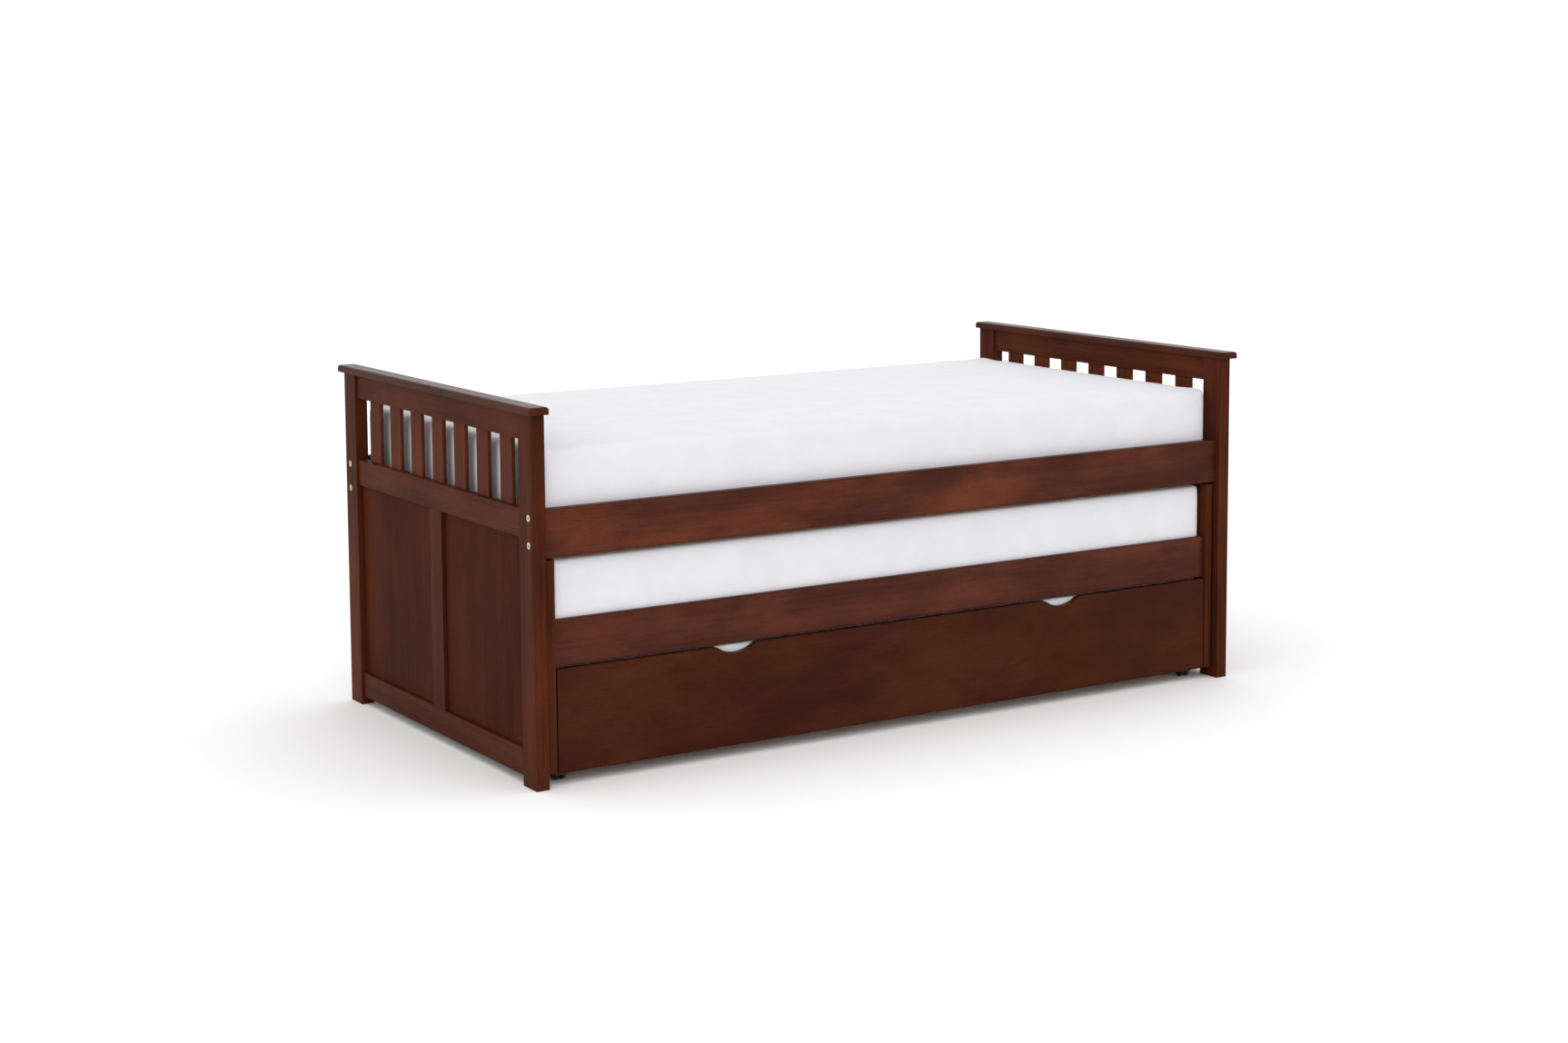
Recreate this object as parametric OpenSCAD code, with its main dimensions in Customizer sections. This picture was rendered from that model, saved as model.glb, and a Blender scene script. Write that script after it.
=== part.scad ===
// Twin captain's bed with a pull-out bed under it and a trundle drawer inside the pull-out bed.
// X runs along the bed, Y across it with the front at -Y, Z up. The floor is Z = 0 and the origin
// is on the floor under the middle of the bed. Every piece is modelled where it lies with the bed shut.

/* [Overall size] */
// Length over the outer faces of the end posts
bed_length = 2045; // [2035:1:2080]
// Width over the outer faces of the end posts
bed_width = 1054; // [1050:1:1080]
// Height to the top of the cap rails
bed_height = 869; // [860:1:900]

/* [End panels] */
// Thickness of an end post along the bed
post_thick = 33; // [32:1:38]
// Width of an end post across the bed
post_width = 67; // [60:1:75]
// Thickness of the cap rail
cap_thick = 17; // [14:1:20]
// How far the cap rail stands out past the ends and the outer face of the posts
cap_overhang = [12, 18]; // [8:1:20]
// How far the cap rail stands in past the inner face of the posts
cap_inner_lip = 6; // [0:1:8]
// Radius of the cap rail's rounded edges
cap_round = 8; // [4:1:8]
// Thickness of the rails and the stile of an end panel
panel_rail_thick = 22; // [20:1:24]
// Height of the crest rail under the cap
crest_rail_h = 62; // [50:1:70]
// Bottom and top of the mid rail, between the spindles and the lower panels
mid_rail_z = [568, 633]; // [560:1:640]
// Bottom and top of the bottom rail
bottom_rail_z = [21, 83]; // [15:1:100]
// Width of the stile between the two lower panels
stile_width = 65; // [50:1:80]
// Number of flat spindles between the mid rail and the crest rail
spindle_count = 7; // [5:1:8]
// Width of a spindle
spindle_width = 62; // [40:1:65]
// Thickness of a spindle
spindle_thick = 9; // [8:1:10]
// Thickness of the plywood of the lower panels
panel_thick = 6; // [4:1:8]
// Depth from the post's outer face to the spindles and the lower panels
infill_recess = 15; // [12:1:16]

/* [Side rails and bolts] */
// Depth from the front of the posts to the front of the side rails
rail_recess = 15; // [12:1:18]
// Thickness of the side rails of both beds
rail_thick = 19; // [18:1:22]
// Bottom and top of the upper side rails
side_rail_z = [525, 636]; // [524:1:660]
// Heights of the two bolts that hold a side rail to a post
bolt_z = [556, 618]; // [540:1:625]
// Distance from the outer face of a post to the middle of its bolts
bolt_inset = 23.5; // [23:0.5:26]
// Radius of a bolt's head
bolt_head_r = 8; // [6:0.5:9]
// Radius of a bolt's shank
bolt_r = 3; // [2.5:0.5:4]
// Length of a bolt under its head
bolt_length = 78; // [70:1:90]

/* [Bed bases] */
// Number of slats in each sleeping base
slat_count = 12; // [10:1:14]
// Width of a slat
slat_width = 72; // [60:1:80]
// Thickness of a slat
slat_thick = 14; // [12:1:16]
// Width and height of the ledgers that carry the slats
ledger_size = [20, 25]; // [15:1:25]

/* [Pull-out bed] */
// Gap between the pull-out bed and the end posts
pullout_gap = 7; // [5:1:10]
// Depth from the front of the bed to the front of the pull-out posts
pullout_recess = 17; // [15:1:20]
// Thickness of a pull-out post along the bed
pullout_post_thick = 22; // [20:1:24]
// Width of a pull-out post across the bed
pullout_post_width = 65; // [60:1:70]
// Bottom and top of the pull-out posts
pullout_post_z = [29, 519]; // [25:1:520]
// Depth from the front of the pull-out posts to its side rails
pullout_rail_recess = 12; // [10:1:14]
// Bottom and top of the pull-out side rails
pullout_rail_z = [272, 380]; // [268:1:390]
// Heights of the two bolts in a pull-out post
pullout_bolt_z = [300, 352]; // [295:1:360]
// Thickness of the pull-out end rails
end_rail_thick = 18; // [16:1:20]
// Bottom and top of the upper end rail of the pull-out bed
upper_end_rail_z = [440, 505]; // [430:1:510]
// Width and height of the runner boards that carry the pull-out casters
runner_size = [55, 20]; // [50:1:56]

/* [Trundle drawer] */
// Gap between the drawer front and the pull-out posts
drawer_gap = 3.5; // [3:0.5:5]
// Depth from the front of the bed to the drawer front
drawer_recess = 19; // [18:1:22]
// Thickness of the drawer front
drawer_front_thick = 16; // [15:1:18]
// Bottom and top of the drawer front
drawer_front_z = [28, 268]; // [25:1:270]
// Middle of each finger cut-out along the drawer front
cutout_x = 484; // [300:1:600]
// Half length of a finger cut-out between the ends of its lips
cutout_half = 62; // [55:1:70]
// Depth of a finger cut-out
cutout_depth = 19; // [15:1:22]
// Height of the rails under the drawer's slats
base_rail_h = 32; // [28:1:34]
// Width of the drawer's cross rails, which carry the casters
cross_rail_w = 60; // [50:1:60]
// Half length of the drawer's base
base_half = 895; // [880:1:896]

/* [Casters] */
// Radius of a caster wheel
wheel_r = 16; // [15:0.5:17]
// Width of one of the two wheels of a caster
wheel_w = 9; // [8:0.5:10]
// Distance from the swivel axis to the wheels' axle
trail = 8; // [6:0.5:9]
// Height of a caster from the floor to the top of its plate
caster_h = 44; // [43:0.5:46]

/* [Mattresses] */
// Length, width and height of the top of the upper mattress
upper_mattress_size = [1960, 972, 770]; // [760:1:1965]
// Length, width and height of the top of the pull-out bed's mattress
middle_mattress_size = [1914, 952, 516]; // [500:1:1914]
// Length, width and height of the top of the drawer's mattress
lower_mattress_size = [1908, 954, 268]; // [250:1:1908]

/* [Hidden] */
$fn = 48;

wood = [0.30, 0.13, 0.09];
dark_wood = [0.25, 0.11, 0.09];
pine = [0.78, 0.62, 0.42];
steel = [0.80, 0.78, 0.72];
black = [0.05, 0.05, 0.05];
foam = [0.93, 0.92, 0.94];

LEFT = -1;
RIGHT = 1;
FRONT = -1;
BACK = 1;
ENDS = [LEFT, RIGHT];
SIDES = [FRONT, BACK];

half_l = bed_length / 2;
half_w = bed_width / 2;
post_top = bed_height - cap_thick;
post_in_x = half_l - post_thick;
post_in_y = half_w - post_width;
// Rails, stile and tenons are centred in the thickness of the posts
panel_mid = half_l - post_thick / 2;
tenon_thick = 12;
tenon_len = 25;
tenon_shoulder = 6;
spindle_tenon = 12;
groove_depth = 8;
crest_rail_z = [post_top - crest_rail_h, post_top];
infill_x = half_l - infill_recess;
spindle_pitch = (2 * post_in_y + spindle_width) / (spindle_count + 1);
// The flat part of a cap rail reaches this far from its middle; the rounded edges lie beyond
cap_mid_x = half_l + (cap_overhang[0] - post_thick - cap_inner_lip) / 2;
cap_in_x = (post_thick + cap_overhang[0] + cap_inner_lip) / 2 - cap_round;
cap_in_y = half_w + cap_overhang[1] - cap_round;

bolt_y = half_w - bolt_inset;
bore_r = bolt_r + 0.25;
counterbore_r = bolt_head_r + 1.5;
counterbore_depth = 4;
head_thick = 3;
socket_r = 3.2;
nut_r = 5;
nut_len = 15;
nut_inset = 12;

rail_in_y = half_w - rail_recess - rail_thick;
screw_r = 1.8;
screw_head_r = 3.6;
screw_head_h = 2.5;
screw_len = 30;
slat_margin = 1;
ledger_drop = ledger_size[1] + slat_thick;
bed_slat_z = 556;
pullout_slat_z = 310;
mattress_lift = 0.3;

po_out_x = post_in_x - pullout_gap;
po_in_x = po_out_x - pullout_post_thick;
po_half_y = half_w - pullout_recess;
po_post_in_y = po_half_y - pullout_post_width;
po_rail_y = po_half_y - pullout_rail_recess;
po_rail_in_y = po_rail_y - rail_thick;
po_bolt_y = po_rail_y - rail_thick / 2;
po_mid = po_out_x - pullout_post_thick / 2;
po_bolt_length = 66;
runner_end_y = half_w - drawer_recess - drawer_front_thick - 3;

drawer_half_x = po_in_x - drawer_gap;
drawer_front_y = half_w - drawer_recess;
base_front_y = drawer_front_y - drawer_front_thick;
base_back_y = half_w - 56;
// The drawer's mattress lies right behind the drawer front
lower_mattress_y = 1 - base_front_y + lower_mattress_size[1] / 2;
base_rail_thick = 18;
drawer_slat_z = caster_h + base_rail_h;
// The dip's arc and a lip's arc meet where both have turned through the angle touch
lip_r = 22;
dip_r = (pow(cutout_half, 2) + pow(cutout_depth, 2)) / (2 * cutout_depth) - lip_r;
touch = asin(cutout_half / (dip_r + lip_r));
lip_steps = 6;
dip_steps = 16;

web_thick = 6;
wheel_gap = 0.8;
axle_r = 3;
run_fit = 0.05;
hood_r = 18.5;
hood_wall = 1.8;
hood_half_w = web_thick / 2 + wheel_gap + wheel_w;
neck_r = 8;
neck_top = 36;
pin_r = 4;
plate_size = 36;
plate_thick = 2.5;
boss_gap = 0.4;
plate_screw_at = 13.5;
plate_screw_len = 16;
pullout_caster = [932, half_w - 66];
drawer_caster = [base_half - cross_rail_w / 2, half_w - 184];

mattress_corner = 18;

// A box given by its lowest and highest X, Y and Z
module block(x, y, z)
    translate([x[0], y[0], z[0]]) cube([x[1] - x[0], y[1] - y[0], z[1] - z[0]]);

// Everything of an end panel is drawn at the right back corner and mirrored to its own
module at_corner(end, side)
    mirror([end == LEFT ? 1 : 0, 0, 0]) mirror([0, side == FRONT ? 1 : 0, 0]) children();

// ---------- end panels ----------

// One tenon of a rail that ends at a post's inner edge y, running on into the post
module tenon(mid_x, y, z)
    block([mid_x - tenon_thick / 2, mid_x + tenon_thick / 2], [y - 1, y + tenon_len],
          [z[0] + tenon_shoulder, z[1] - tenon_shoulder]);

// The grooves' shape: both lower panels as one sheet that reaches into posts, stile and rails
module infill_sheet()
    block([infill_x - panel_thick, infill_x], [-post_in_y - groove_depth, post_in_y + groove_depth],
          [bottom_rail_z[1] - groove_depth, mid_rail_z[0] + groove_depth]);

// Bolt hole with its counterbore through a post whose outer face is at x
module bolt_hole(x, y, z, depth)
    translate([x, y, z]) rotate([0, -90, 0]) {
        translate([0, 0, -1]) cylinder(r = bore_r, h = depth + 2);
        translate([0, 0, -1]) cylinder(r = counterbore_r, h = counterbore_depth + 1);
    }

// An end post, with mortises for the three rails, a panel groove and two bolt holes
module end_post(end, side)
    color(wood) at_corner(end, side) difference() {
        block([post_in_x, half_l], [post_in_y, half_w], [0, post_top]);
        for (z = [crest_rail_z, mid_rail_z, bottom_rail_z]) tenon(panel_mid, post_in_y, z);
        infill_sheet();
        for (z = bolt_z) bolt_hole(half_l, bolt_y, z, post_thick);
    }

// A rail between the two posts of an end panel, with a tenon at each end
module panel_rail(z) {
    block([panel_mid - panel_rail_thick / 2, panel_mid + panel_rail_thick / 2],
          [-post_in_y, post_in_y], z);
    for (side = SIDES) mirror([0, side == FRONT ? 1 : 0, 0]) tenon(panel_mid, post_in_y, z);
}

// The flat spindles, evenly spaced between the posts and let into both rails
module spindle_row()
    for (i = [1 : spindle_count]) {
        y = -post_in_y - spindle_width / 2 + i * spindle_pitch;
        block([infill_x - spindle_thick, infill_x], [y - spindle_width / 2, y + spindle_width / 2],
              [mid_rail_z[1] - spindle_tenon, crest_rail_z[0] + spindle_tenon]);
    }

module crest_rail(end)
    color(wood) at_corner(end, BACK) difference() {
        panel_rail(crest_rail_z);
        spindle_row();
    }

module spindles(end)
    color(wood) at_corner(end, BACK) spindle_row();

module mid_rail(end)
    color(wood) at_corner(end, BACK) difference() {
        panel_rail(mid_rail_z);
        spindle_row();
        infill_sheet();
    }

module bottom_rail(end)
    color(wood) at_corner(end, BACK) difference() {
        panel_rail(bottom_rail_z);
        infill_sheet();
    }

// The stile stands between the mid rail and the bottom rail and takes a panel in each edge
module stile_bar()
    difference() {
        block([panel_mid - panel_rail_thick / 2, panel_mid + panel_rail_thick / 2],
              [-stile_width / 2, stile_width / 2], [bottom_rail_z[1], mid_rail_z[0]]);
        for (side = SIDES) mirror([0, side == FRONT ? 1 : 0, 0])
            block([infill_x - panel_thick, infill_x],
                  [stile_width / 2 - groove_depth, stile_width], [0, bed_height]);
    }

module panel_stiles()
    color(wood) for (end = ENDS) at_corner(end, BACK) stile_bar();

module lower_panels()
    color(dark_wood) for (end = ENDS, side = SIDES) at_corner(end, side) intersection() {
        infill_sheet();
        block([0, half_l], [stile_width / 2 - groove_depth, half_w], [0, bed_height]);
    }

// The cap rail: a board whose top edges and corners are rounded over
module cap_rail(end)
    color(wood) at_corner(end, BACK) translate([cap_mid_x, 0, post_top]) {
        for (grow = [[cap_round, 0], [0, cap_round]])
            block([-cap_in_x - grow[0], cap_in_x + grow[0]], [-cap_in_y - grow[1], cap_in_y + grow[1]],
                  [0, cap_thick - cap_round]);
        block([-cap_in_x, cap_in_x], [-cap_in_y, cap_in_y], [0, cap_thick]);
        for (x = [-cap_in_x, cap_in_x])
            translate([x, 0, cap_thick - cap_round]) rotate([90, 0, 0])
                cylinder(r = cap_round, h = 2 * cap_in_y, center = true);
        for (y = [-cap_in_y, cap_in_y])
            translate([0, y, cap_thick - cap_round]) rotate([0, 90, 0])
                cylinder(r = cap_round, h = 2 * cap_in_x, center = true);
        for (x = [-cap_in_x, cap_in_x], y = [-cap_in_y, cap_in_y]) translate([x, y, 0]) {
            cylinder(r = cap_round, h = cap_thick - cap_round);
            translate([0, 0, cap_thick - cap_round]) sphere(r = cap_round);
        }
    }

// ---------- bolts, nuts and screws ----------

// A bolt along X, its head seated in a counterbore of the face at x
module furniture_bolt(x, y, z, length)
    translate([x - counterbore_depth, y, z]) rotate([0, 90, 0]) difference() {
        union() {
            cylinder(r = bolt_head_r, h = head_thick);
            translate([0, 0, -length]) cylinder(r = bolt_r, h = length);
        }
        translate([0, 0, head_thick - 2]) cylinder(r = socket_r, h = 3, $fn = 6);
    }

// The cross hole for a barrel nut, drilled from a rail's inner face, and the nut itself
module nut_shape(x, inner_y, z, len)
    translate([x, inner_y, z]) rotate([-90, 0, 0]) cylinder(r = nut_r, h = len);

// A side rail with bolt bores and nut holes at both ends, drawn at the back
module bolted_rail(half_len, y, z, bolt_y, heights, bore_len)
    difference() {
        block([-half_len, half_len], [y - rail_thick, y], z);
        for (end = ENDS, h = heights) mirror([end == LEFT ? 1 : 0, 0, 0]) {
            translate([half_len + 1, bolt_y, h]) rotate([0, -90, 0])
                cylinder(r = bore_r, h = bore_len + 1);
            nut_shape(half_len - bore_len + nut_inset, y - rail_thick, h, nut_len + 1);
        }
    }

bed_bore = bolt_length + counterbore_depth - post_thick + 2;
po_bore = po_bolt_length + counterbore_depth - pullout_post_thick + 2;

module side_rail(side)
    color(wood) at_corner(RIGHT, side)
        bolted_rail(post_in_x, half_w - rail_recess, side_rail_z, bolt_y, bolt_z, bed_bore);

module bed_bolts()
    color(steel) for (end = ENDS, side = SIDES, z = bolt_z)
        at_corner(end, side) furniture_bolt(half_l, bolt_y, z, bolt_length);

// A barrel nut, with the hole that the bolt's end turns in
module barrel_nut(half_len, inner_y, bolt_y, z, bore_len)
    difference() {
        nut_shape(half_len - bore_len + nut_inset, inner_y, z, nut_len);
        translate([half_len, bolt_y, z]) rotate([0, -90, 0]) cylinder(r = bolt_r, h = bore_len);
    }

module bed_barrel_nuts()
    color(steel) for (end = ENDS, side = SIDES, z = bolt_z)
        at_corner(end, side) barrel_nut(post_in_x, rail_in_y, bolt_y, z, bed_bore);

// A countersunk screw that points down from its head's top at the origin
module wood_screw(len) {
    translate([0, 0, -screw_head_h]) cylinder(r1 = screw_r, r2 = screw_head_r, h = screw_head_h);
    translate([0, 0, -len]) cylinder(r = screw_r, h = len - screw_head_h);
}

// ---------- slatted bases ----------

// Where the slats' middles lie along a base that reaches half_len each way
function slat_x(half_len) =
    [for (i = [0 : slat_count - 1])
        (half_len - slat_width / 2 - slat_margin) * (2 * i / (slat_count - 1) - 1)];

module slat_screws(half_len, screw_y, top)
    for (x = slat_x(half_len), side = SIDES)
        translate([x, side * screw_y, top]) wood_screw(screw_len);

module slat_row(half_len, half_y, screw_y, top)
    difference() {
        for (x = slat_x(half_len))
            block([x - slat_width / 2, x + slat_width / 2], [-half_y, half_y], [top - slat_thick, top]);
        slat_screws(half_len, screw_y, top);
    }

// The ledgers lie along the rails' inner faces, under the slats
module ledger_pair(half_len, rail_y, top)
    difference() {
        for (side = SIDES) at_corner(RIGHT, side)
            block([-half_len, half_len], [rail_y - ledger_size[0], rail_y],
                  [top - slat_thick - ledger_size[1], top - slat_thick]);
        slat_screws(half_len, rail_y - ledger_size[0] / 2, top);
    }

bed_slat_top = bed_slat_z + slat_thick;
po_slat_top = pullout_slat_z + slat_thick;
drawer_slat_top = drawer_slat_z + slat_thick;
bed_screw_y = rail_in_y - ledger_size[0] / 2;
po_screw_y = po_rail_in_y - ledger_size[0] / 2;

module bed_ledgers() color(pine) ledger_pair(post_in_x, rail_in_y, bed_slat_top);
module bed_slats() color(pine) slat_row(post_in_x, rail_in_y - slat_margin, bed_screw_y, bed_slat_top);
module bed_slat_screws() color(steel) slat_screws(post_in_x, bed_screw_y, bed_slat_top);

// ---------- pull-out bed ----------

module pullout_posts(side)
    color(wood) for (end = ENDS) at_corner(end, side) difference() {
        block([po_in_x, po_out_x], [po_post_in_y, po_half_y], pullout_post_z);
        for (z = [pullout_rail_z, upper_end_rail_z]) tenon(po_mid, po_post_in_y, z);
        for (z = pullout_bolt_z)
            bolt_hole(po_out_x, po_bolt_y, z, pullout_post_thick);
    }

module pullout_end_rails()
    color(wood) for (end = ENDS, z = [pullout_rail_z, upper_end_rail_z]) at_corner(end, BACK) {
        block([po_mid - end_rail_thick / 2, po_mid + end_rail_thick / 2],
              [-po_post_in_y, po_post_in_y], z);
        for (side = SIDES) mirror([0, side == FRONT ? 1 : 0, 0]) tenon(po_mid, po_post_in_y, z);
    }

module pullout_rail(side)
    color(wood) at_corner(RIGHT, side)
        bolted_rail(po_in_x, po_rail_y, pullout_rail_z, po_bolt_y, pullout_bolt_z, po_bore);

module pullout_bolts()
    color(steel) for (end = ENDS, side = SIDES, z = pullout_bolt_z)
        at_corner(end, side) furniture_bolt(po_out_x, po_bolt_y, z, po_bolt_length);

module pullout_barrel_nuts()
    color(steel) for (end = ENDS, side = SIDES, z = pullout_bolt_z)
        at_corner(end, side) barrel_nut(po_in_x, po_rail_in_y, po_bolt_y, z, po_bore);

module pullout_ledgers() color(pine) ledger_pair(po_in_x, po_rail_in_y, po_slat_top);
module pullout_slats() color(pine) slat_row(po_in_x, po_rail_in_y - slat_margin, po_screw_y, po_slat_top);
module pullout_slat_screws() color(steel) slat_screws(po_in_x, po_screw_y, po_slat_top);

// Runner boards lie inside the end frames, under the drawer's slats, and carry the casters
module pullout_runners()
    color(pine) for (end = ENDS) mirror([end == LEFT ? 1 : 0, 0, 0]) difference() {
        block([po_in_x - runner_size[0], po_in_x], [-runner_end_y, runner_end_y],
              [caster_h, caster_h + runner_size[1]]);
        for (side = SIDES) translate([pullout_caster[0], side * pullout_caster[1], 0]) plate_screws();
    }

// ---------- trundle drawer ----------

// Points of one finger cut-out from left to right, with Z = 0 on the top edge: a lip that curves
// down from the top edge, the arc of a shallow dip, and the other lip
function lip_points(side) = [for (i = [0 : lip_steps]) let (a = touch * i / lip_steps)
    [side * (cutout_half - lip_r * sin(a)), lip_r * (cos(a) - 1)]];
function dip_points() = [for (i = [1 : dip_steps - 1]) let (a = touch * (2 * i / dip_steps - 1))
    [dip_r * sin(a), dip_r * (1 - cos(a)) - cutout_depth]];
function backwards(points) = [for (i = [len(points) - 1 : -1 : 0]) points[i]];

module drawer_front()
    color(dark_wood) translate([0, -base_front_y, 0]) rotate([90, 0, 0])
        linear_extrude(drawer_front_thick) polygon(concat(
            [[drawer_half_x, drawer_front_z[0]], [-drawer_half_x, drawer_front_z[0]],
             [-drawer_half_x, drawer_front_z[1]]],
            [for (x = [-cutout_x, cutout_x],
                  p = concat(lip_points(-1), dip_points(), backwards(lip_points(1))))
                [x + p[0], drawer_front_z[1] + p[1]]],
            [[drawer_half_x, drawer_front_z[1]]]));

// The long rails: one glued behind the drawer front, one at the back
module long_rail_bars() {
    block([-base_half, base_half], [-base_front_y, -base_front_y + base_rail_thick],
          [caster_h, drawer_slat_z]);
    block([-base_half, base_half], [base_back_y - base_rail_thick, base_back_y],
          [caster_h, drawer_slat_z]);
}

module drawer_slat_screws()
    for (x = slat_x(lower_mattress_size[0] / 2),
         y = [-base_front_y + base_rail_thick / 2, base_back_y - base_rail_thick / 2])
        translate([x, y, drawer_slat_top]) wood_screw(screw_len);

// The outermost slats reach past the base, so their screws are left out
module inner_slat_screws()
    intersection() {
        drawer_slat_screws();
        block([-base_half, base_half], [-half_w, half_w], [0, bed_height]);
    }

module drawer_long_rails()
    color(pine) difference() {
        long_rail_bars();
        inner_slat_screws();
    }

module drawer_cross_rails()
    color(pine) difference() {
        for (x = [drawer_caster[0], 0, -drawer_caster[0]])
            block([x - cross_rail_w / 2, x + cross_rail_w / 2],
                  [-base_front_y + base_rail_thick, base_back_y - base_rail_thick],
                  [caster_h, drawer_slat_z]);
        for (end = ENDS, side = SIDES)
            translate([end * drawer_caster[0], side * drawer_caster[1], 0]) plate_screws();
    }

module drawer_slats()
    color(pine) difference() {
        for (x = slat_x(lower_mattress_size[0] / 2))
            block([x - slat_width / 2, x + slat_width / 2], [-base_front_y + slat_margin, base_back_y],
                  [drawer_slat_z, drawer_slat_top]);
        inner_slat_screws();
    }

module drawer_screws() color(steel) inner_slat_screws();

// ---------- casters ----------

// The four screws of a caster plate, heads down, about a swivel axis at the origin
module plate_screws()
    for (x = [-plate_screw_at, plate_screw_at], y = [-plate_screw_at, plate_screw_at])
        translate([x, y, caster_h - plate_thick]) mirror([0, 0, 1]) wood_screw(plate_screw_len);

// The fixed plate with the boss that the swivel pin turns in, and its screws
module caster_plate() {
    difference() {
        union() {
            block([-plate_size / 2, plate_size / 2], [-plate_size / 2, plate_size / 2],
                  [caster_h - plate_thick, caster_h]);
            translate([0, 0, neck_top + boss_gap])
                cylinder(r = neck_r, h = caster_h - plate_thick - neck_top);
        }
        translate([0, 0, neck_top]) cylinder(r = pin_r + run_fit, h = caster_h);
        plate_screws();
    }
    plate_screws();
}

module caster_plates(at)
    color(steel) for (end = ENDS, side = SIDES)
        translate([end * at[0], side * at[1], 0]) caster_plate();

// A cylinder along X about the wheels' axle
module on_axle(r, width)
    translate([0, trail, wheel_r]) rotate([0, 90, 0]) cylinder(r = r, h = width, center = true);

// The hood: a web between the wheels, a curved guard over them, a neck and the swivel pin
module caster_hood(at)
    color(black) translate([at[0], at[1], 0]) {
        difference() {
            union() {
                intersection() {
                    union() {
                        on_axle(hood_r, web_thick);
                        difference() {
                            on_axle(hood_r, 2 * hood_half_w);
                            on_axle(hood_r - hood_wall, 2 * hood_half_w + 2);
                        }
                    }
                    block([-plate_size, plate_size], [-plate_size, 2 * plate_size],
                          [wheel_r - 2, caster_h]);
                }
                on_axle(neck_r, web_thick);
                difference() {
                    translate([0, 0, wheel_r]) cylinder(r = neck_r, h = neck_top - wheel_r);
                    on_axle(hood_r - hood_wall, 4 * neck_r);
                }
                translate([0, 0, neck_top - 1]) cylinder(r = pin_r, h = caster_h - neck_top);
            }
            on_axle(axle_r + run_fit, 2 * hood_half_w);
        }
    }

// One wheel about its own axis: a tread with rounded shoulders and a dished outer face
module wheel_disc()
    rotate_extrude() polygon([
        [axle_r, 0], [wheel_r - 1.5, 0], [wheel_r - 0.4, 0.5], [wheel_r, 1.5],
        [wheel_r, wheel_w - 2.5], [wheel_r - 0.7, wheel_w - 0.9], [wheel_r - 2.5, wheel_w],
        [wheel_r - 4, wheel_w], [wheel_r - 5, wheel_w - 1.5], [axle_r + 4, wheel_w - 1.5],
        [axle_r + 3, wheel_w], [axle_r, wheel_w]]);

// Both wheels of a caster and the axle that joins them
module caster_wheels(at)
    color(black) translate([at[0], at[1] + trail, wheel_r]) {
        for (end = ENDS) mirror([end == LEFT ? 1 : 0, 0, 0])
            translate([web_thick / 2 + wheel_gap, 0, 0]) rotate([0, 90, 0]) wheel_disc();
        rotate([0, 90, 0]) cylinder(r = axle_r, h = 2 * hood_half_w, center = true);
    }

function caster_at(at, end, side) = [end * at[0], side * at[1]];

// ---------- mattresses ----------

// A mattress with upright round corners. Its size gives length, width and the height of its top
module mattress(size, base_top)
    color(foam) {
        bottom = base_top + mattress_lift;
        half = [size[0] / 2, size[1] / 2];
        for (inset = [[mattress_corner, 0], [0, mattress_corner]])
            block([inset[0] - half[0], half[0] - inset[0]], [inset[1] - half[1], half[1] - inset[1]],
                  [bottom, size[2]]);
        for (x = [-1, 1], y = [-1, 1])
            translate([x * (half[0] - mattress_corner), y * (half[1] - mattress_corner), bottom])
                cylinder(r = mattress_corner, h = size[2] - bottom);
    }

module upper_mattress() mattress(upper_mattress_size, bed_slat_top);
module middle_mattress() mattress(middle_mattress_size, po_slat_top);
module lower_mattress()
    translate([0, lower_mattress_y, 0]) mattress(lower_mattress_size, drawer_slat_top);

end_post(LEFT, FRONT);  // left_front_post
end_post(LEFT, BACK);  // left_back_post
end_post(RIGHT, FRONT);  // right_front_post
end_post(RIGHT, BACK);  // right_back_post
cap_rail(LEFT);  // left_cap_rail
cap_rail(RIGHT);  // right_cap_rail
crest_rail(LEFT);  // left_crest_rail
crest_rail(RIGHT);  // right_crest_rail
spindles(LEFT);  // left_spindles
spindles(RIGHT);  // right_spindles
mid_rail(LEFT);  // left_mid_rail
mid_rail(RIGHT);  // right_mid_rail
panel_stiles();
lower_panels();
bottom_rail(LEFT);  // left_bottom_rail
bottom_rail(RIGHT);  // right_bottom_rail
side_rail(FRONT);  // front_side_rail
side_rail(BACK);  // back_side_rail
bed_ledgers();
bed_slats();
bed_slat_screws();
bed_bolts();
bed_barrel_nuts();
upper_mattress();
pullout_posts(FRONT);  // pullout_front_posts
pullout_posts(BACK);  // pullout_back_posts
pullout_end_rails();
pullout_rail(FRONT);  // pullout_front_rail
pullout_rail(BACK);  // pullout_back_rail
pullout_runners();
pullout_ledgers();
pullout_slats();
pullout_slat_screws();
pullout_bolts();
pullout_barrel_nuts();
caster_plates(pullout_caster);  // pullout_caster_plates
middle_mattress();
drawer_front();
drawer_long_rails();
drawer_cross_rails();
drawer_slats();
drawer_screws();
caster_plates(drawer_caster);  // drawer_caster_plates
lower_mattress();
caster_hood(caster_at(pullout_caster, LEFT, FRONT));  // pullout_left_front_hood
caster_wheels(caster_at(pullout_caster, LEFT, FRONT));  // pullout_left_front_wheels
caster_hood(caster_at(pullout_caster, LEFT, BACK));  // pullout_left_back_hood
caster_wheels(caster_at(pullout_caster, LEFT, BACK));  // pullout_left_back_wheels
caster_hood(caster_at(pullout_caster, RIGHT, FRONT));  // pullout_right_front_hood
caster_wheels(caster_at(pullout_caster, RIGHT, FRONT));  // pullout_right_front_wheels
caster_hood(caster_at(pullout_caster, RIGHT, BACK));  // pullout_right_back_hood
caster_wheels(caster_at(pullout_caster, RIGHT, BACK));  // pullout_right_back_wheels
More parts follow.
